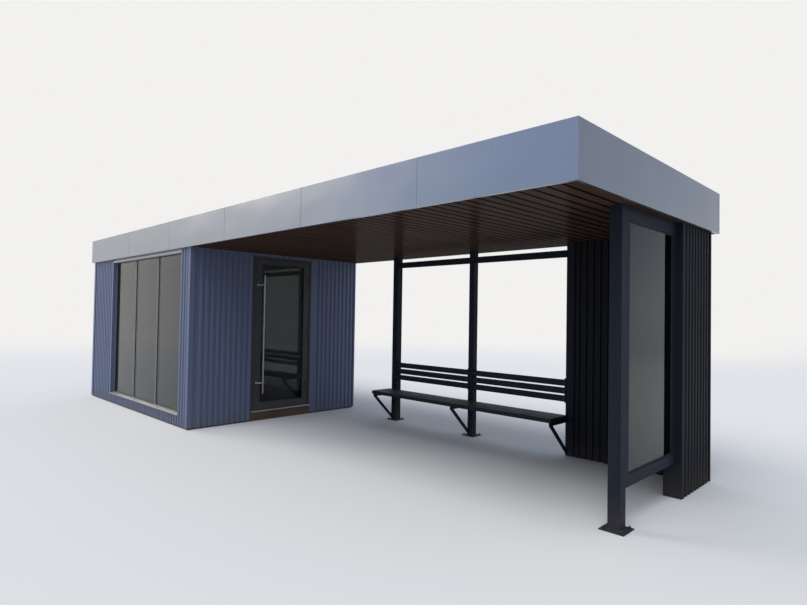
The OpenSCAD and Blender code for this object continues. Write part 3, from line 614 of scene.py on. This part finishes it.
def turned(rings, sides):
    """Points and faces of rings of (radius, height) in millimetres, closed at both ends."""
    points, faces = [], []
    for radius, height in in_metres(rings):
        for angle in (math.tau * i / sides for i in range(sides)):
            points.append(Vector((radius * math.cos(angle), radius * math.sin(angle), height)))
    for k in range(len(rings) - 1):
        for i in range(sides):
            j = (i + 1) % sides
            faces.append((k * sides + i, k * sides + j, (k + 1) * sides + j, (k + 1) * sides + i))
    faces.append(tuple(reversed(range(sides))))
    faces.append(tuple(range((len(rings) - 1) * sides, len(rings) * sides)))
    return points, faces


def joined(shapes):
    """Several (points, faces) as one."""
    points, faces = [], []
    for more_points, more_faces in shapes:
        base = len(points)
        points += more_points
        faces += [tuple(base + i for i in face) for face in more_faces]
    return points, faces


def scattered(name, shape, places, material, slot):
    """One piece with a copy of the shape at each (point, direction it faces)."""
    points, faces = shape
    copies = []
    for point, out in places:
        turn = Matrix.Translation(point) @ Vector(out).to_track_quat("Z", "Y").to_matrix().to_4x4()
        copies.append(([turn @ p for p in points], faces))
    piece_from(name, *joined(copies), material, slot)
    print(name, len(places))


facade_screw = joined([
    turned([(6.5, 0), (6.5, 1.2), (5.6, 1.6)], 12),
    turned([(3.6, 1.4), (3.6, 4.6), (3.0, 5.2)], 6),
])
carriage_head = turned([(9, -0.5), (9, 0.6), (8, 2.0), (5.6, 3.0), (2.5, 3.5)], 16)
anchor = joined([
    turned([(15, 0), (15, 2.6), (14.6, 3)], 20),
    turned([(10.4, 3), (10.9, 3.8), (10.9, 12.2), (10.2, 13)], 6),
    turned([(r, h) for k in range(4) for r, h in ((5.9, 12 + 2 * k), (5.2, 13 + 2 * k))] + [(4.6, 21)], 14),
])
print("faces of a screw, a carriage bolt and an anchor:",
      [len(faces) for points, faces in (facade_screw, carriage_head, anchor)])

# %% [markdown]
# Ribbed sheets are screwed to the wall in their valleys, where the sheet lies on the rail behind it.
# The valleys are found as a hand would find them: a finger runs along the wall at each row's height
# and feels how deep the sheet lies. Every second valley gets a screw.

# %% Screws in the valleys of the ribbed sheets
SCREW_ROWS = (0.10, 0.86, 1.62, 2.345)
STEP = 0.003
STAND_OFF = 0.05
VALLEY_DEPTH, DEPTH_SLACK = 0.017, 0.002
VALLEY_LEAST, VALLEY_MOST = 5, 14
TOUCH_REACH = 0.2
EVERY = 2


def valley_screws(name, node, out, slot):
    """Screws in the valleys of one side of a ribbed sheet. out is the way that this side looks."""
    low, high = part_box(node)
    axis = 0 if out[0] else 1
    across = 1 - axis
    start = Vector((low.x, low.y, 0))
    start[axis] = (high if out[axis] > 0 else low)[axis] + out[axis] * STAND_OFF
    along = Vector((axis, across, 0))
    places = []
    for height in SCREW_ROWS:
        valleys, run = [], []
        for i in range(int((high[across] - low[across]) / STEP) + 2):
            spot = start + along * (i * STEP) + Vector((0, 0, height))
            hit = touch(node, spot, -Vector(out), TOUCH_REACH)
            if hit is not None and abs((spot - hit).length - STAND_OFF - VALLEY_DEPTH) < DEPTH_SLACK:
                run.append(hit)
                continue
            if VALLEY_LEAST <= len(run) <= VALLEY_MOST:
                valleys.append((run[0] + run[-1]) / 2)
            run = []
        places += [(point, out) for point in valleys[::EVERY]]
    scattered(name, facade_screw, places, finish[slot], slot)


valley_screws("front_screws", "front_cladding", (0, -1, 0), "kiosk_cladding")
valley_screws("door_wall_screws", "door_side_cladding", (1, 0, 0), "kiosk_cladding")
valley_screws("left_screws", "left_cladding", (-1, 0, 0), "kiosk_cladding")
valley_screws("rear_screws", "rear_cladding", (0, 1, 0), "kiosk_cladding")
valley_screws("pier_side_screws", "corner_wall_cladding", (1, 0, 0), "dark_cladding")
valley_screws("rear_wall_screws", "corner_wall_cladding", (0, 1, 0), "dark_cladding")

# %% [markdown]
# Three of the posts stand on a plate held by four anchor bolts. The record of the part says where
# the holes are, so the bolts are placed from it. A washer covers the hole, a nut sits on it and the
# thread shows above.

# %% Anchor bolts
PLATE_TOP = 0.008
FEET = {"front_post_bolts": "post_front", "left_post_bolts": "post_rear_left",
        "middle_post_bolts": "post_rear_middle"}
plates = [mount for mount in frame["record"]["mounts"] if mount["name"] in FEET]
places = []
for mount in plates:
    half = mount["dims"]["spacing_x_mm"] / 2 * MM
    x, y = mount["pos_m"][:2]
    for dx in (-half, half):
        for dy in (-half, half):
            places.append((Vector((x + dx, y + dy, PLATE_TOP)), (0, 0, 1)))
scattered("anchor_bolts", anchor, places, galvanised, "stainless")

# %% [markdown]
# Post and plate are welded all round. A weld bead is a small fillet of metal, so it is one section
# swept round the post like a picture frame, with its corners mitred. The post is measured by touch.

# %% Weld beads at the foot of each post
def ring(low, high, place, section):
    """Sweeps a section of (inwards, outwards) points round a rectangle. place turns (u, v, w) into a
    point."""
    points, faces = [], []
    corners = [(low[0], low[1], 1, 1), (high[0], low[1], -1, 1),
               (high[0], high[1], -1, -1), (low[0], high[1], 1, -1)]
    for u, v, du, dv in corners:
        points += [place(u + du * inwards, v + dv * inwards, outwards) for inwards, outwards in section]
    count = len(section)
    for k in range(4):
        for i in range(count):
            a, b = k * count + i, k * count + (i + 1) % count
            c, d = (k + 1) % 4 * count + (i + 1) % count, (k + 1) % 4 * count + i
            faces.append((a, b, c, d))
    return points, faces


WELD = in_metres([(1, -0.5), (-6, -0.5), (-5, 2.2), (-2.4, 4.8), (1, 6)])
SHANK = 0.06
welds = []
for mount in plates:
    node = FEET[mount["name"]]
    x, y = mount["pos_m"][:2]
    low = (touch(node, (x - 1, y, SHANK), (1, 0, 0)).x, touch(node, (x, y - 1, SHANK), (0, 1, 0)).y)
    high = (touch(node, (x + 1, y, SHANK), (-1, 0, 0)).x, touch(node, (x, y + 1, SHANK), (0, -1, 0)).y)
    welds.append(ring(low, high, lambda u, v, w: Vector((u, v, PLATE_TOP + w)), WELD))
    print(node, "is", round((high[0] - low[0]) / MM), "by", round((high[1] - low[1]) / MM), "mm")
piece_from("post_welds", *joined(welds), finish["post_steel"], "post_steel")

# %% [markdown]
# Carriage bolts hold the bench. Their heads are low smooth domes that catch no clothes. Each plank
# of the seat has one over the bracket of each rear post, and each slat of the back has one at both
# of its ends, which are found by touch on a walk along the slat.

# %% Bench bolts
PLANKS, PLANK_GAP = 4, 0.010
POST_LINE, POST_TOUCH = 1.205, 1.5
BRACKET_HALF = 0.015
SLAT_MIDDLES = (0.6355, 0.7245, 0.8135)
BOLT_END = 0.02
seat_low, seat_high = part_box("bench_seat")
plank_pitch = (seat_high.y - seat_low.y + PLANK_GAP) / PLANKS
places = []
for node in ("post_rear_left", "post_rear_middle", "post_rear_right"):
    post_x = touch(node, (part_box(node)[0].x - 1, POST_LINE, POST_TOUCH), (1, 0, 0)).x
    bolt_x = min(post_x + BRACKET_HALF, seat_high.x - BOLT_END)
    for k in range(PLANKS):
        y = seat_low.y + plank_pitch * (k + 0.5) - PLANK_GAP / 2
        places.append((touch("bench_seat", (bolt_x, y, 1), (0, 0, -1)), (0, 0, 1)))
    print(node, "stands at x", round(post_x, 3))
back_low, back_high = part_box("bench_back")
inset = Vector((BOLT_END, 0, 0))
for z in SLAT_MIDDLES:
    run = []
    for i in range(int((back_high.x - back_low.x) / STEP) + 4):
        hit = touch("bench_back", (back_low.x + (i - 1) * STEP, seat_low.y, z), (0, 1, 0))
        if hit is not None:
            run.append(hit)
            continue
        if len(run) * STEP > 4 * BOLT_END:
            places += [(run[0] + inset, (0, -1, 0)), (run[-1] - inset, (0, -1, 0))]
        run = []
scattered("bench_bolts", carriage_head, places, galvanised, "stainless")

# %% [markdown]
# A pane sits in its frame on black rubber. The gasket is one section, swept round the opening with
# mitred corners. The opening is measured by touch from a point just in front of the pane, so the
# ring fits the frame it finds.

# %% Gaskets round the panes
GASKET = in_metres([(0, 0), (8, 0), (8, 1.5), (6.5, 3.2), (3.5, 5.2), (0, 6)])
IN_FRONT = 0.004


def gaskets(name, frame_node, glass_node, axis, lights=1, body="shelter"):
    """A ring on both faces of each pane. axis is 0 or 1, the one that the glass looks along, and lights
    is how many panes of the glass node stand side by side."""
    glass_low, glass_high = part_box(glass_node)
    across = 1 - axis
    sideways, upwards = Vector((axis, across, 0)), Vector((0, 0, 1))
    rings = []
    for level, out in ((glass_low[axis], -1), (glass_high[axis], 1)):
        def place(u, v, w):
            point = Vector((0, 0, v))
            point[across] = u
            point[axis] = level + out * w
            return point

        for k in range(lights):
            probe = (glass_low + glass_high) / 2
            probe[across] = glass_low[across] + (glass_high[across] - glass_low[across]) * (k + 0.5) / lights
            probe[axis] = level + out * IN_FRONT
            low = (touch(frame_node, probe, -sideways)[across], touch(frame_node, probe, -upwards).z)
            high = (touch(frame_node, probe, sideways)[across], touch(frame_node, probe, upwards).z)
            rings.append(ring(low, high, place, GASKET))
            print(name, "from", rounded(low), "to", rounded(high))
    piece_from(name, *joined(rings), rubber, "roof_membrane", body, smooth_faces=False)


gaskets("window_gaskets", "window_frame", "window_glass", axis=1, lights=3)
gaskets("side_gaskets", "side_frame", "side_glass", axis=0)
gaskets("door_gaskets", "door_leaf", "door_glass", axis=0, body="door")

# %% [markdown]
# Boots slip on smooth aluminium, so the threshold has low ribs along the door. Each rib is the same
# small arch, drawn from a half circle and repeated over the width that the solid really has.

# %% Grip ribs on the threshold
def drawn_out(profile, x, z, y_from, y_to):
    """A profile of (dx, dz) points from (x, z), drawn out along Y and closed at both ends."""
    count = len(profile)
    points = [Vector((x + dx, y, z + dz)) for y in (y_from, y_to) for dx, dz in profile]
    faces = [(k, k + 1, k + 1 + count, k + count) for k in range(count - 1)]
    faces.append((count - 1, 0, count, 2 * count - 1))
    return points, faces + [tuple(reversed(range(count))), tuple(range(count, 2 * count))]


RIB_HALF, RIB_RISE, RIB_PITCH, RIB_END, RIB_SUNK = (v * MM for v in (2, 1.2, 9, 4, 0.2))
PROBE_END, PROBE_ABOVE, LEVEL_SLACK = 0.01, 0.05, 0.0005
arch = [(math.cos(math.pi * k / 6) * RIB_HALF, math.sin(math.pi * k / 6) * RIB_RISE) for k in range(7)]
step_low, step_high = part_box("door_threshold")
grips = []
x = step_low.x + RIB_PITCH
while x < step_high.x - RIB_PITCH / 2:
    spots = [touch("door_threshold", (x, y, step_high.z + PROBE_ABOVE), (0, 0, -1))
             for y in (step_low.y + PROBE_END, step_high.y - PROBE_END)]
    if all(spot is not None and step_high.z - spot.z < LEVEL_SLACK for spot in spots):
        grips.append(drawn_out(arch, x, step_high.z - RIB_SUNK, step_low.y + RIB_END, step_high.y - RIB_END))
    x += RIB_PITCH
piece_from("threshold_grips", *joined(grips), finish["threshold"], "threshold")
print(len(grips), "ribs on the threshold")

# %% [markdown]
# The roof covering comes in rolls, laid across the roof from the front to the back. Where two rolls
# meet, one laps over the other and is welded down, which leaves a low step. From the street nobody
# sees it, but it is what a roofer looks for.

# %% Laps of the roof covering
ROLL_WIDTH, LAST_ROLL = 1.05, 0.4
LAP, LAP_LIP, LAP_SLOPE = 0.10, 0.002, 0.03
LAP_RISE, LAP_SUNK, LAP_END = 0.004, 0.001, 0.003
IN_TRAY, OVER_ROOF = (0, 0, 2.7), (0, 0, 3)
profile = [(0, 0), (LAP_LIP, LAP_RISE), (LAP, LAP_RISE), (LAP + LAP_SLOPE, 0)]
deck_low, deck_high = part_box("roof_deck")
tray_front = touch("roof_deck", IN_TRAY, (0, -1, 0)).y
tray_rear = touch("roof_deck", IN_TRAY, (0, 1, 0)).y
tray_z = touch("roof_deck", OVER_ROOF, (0, 0, -1)).z
laps = []
x = deck_low.x + ROLL_WIDTH
while x < deck_high.x - LAST_ROLL:
    laps.append(drawn_out(profile, x, tray_z - LAP_SUNK, tray_front + LAP_END, tray_rear - LAP_END))
    x += ROLL_WIDTH
piece_from("roof_laps", *joined(laps), finish["roof_membrane"], "roof_membrane", smooth_faces=False)
print(len(laps), "laps, tray from", round(tray_front, 3), "to", round(tray_rear, 3))
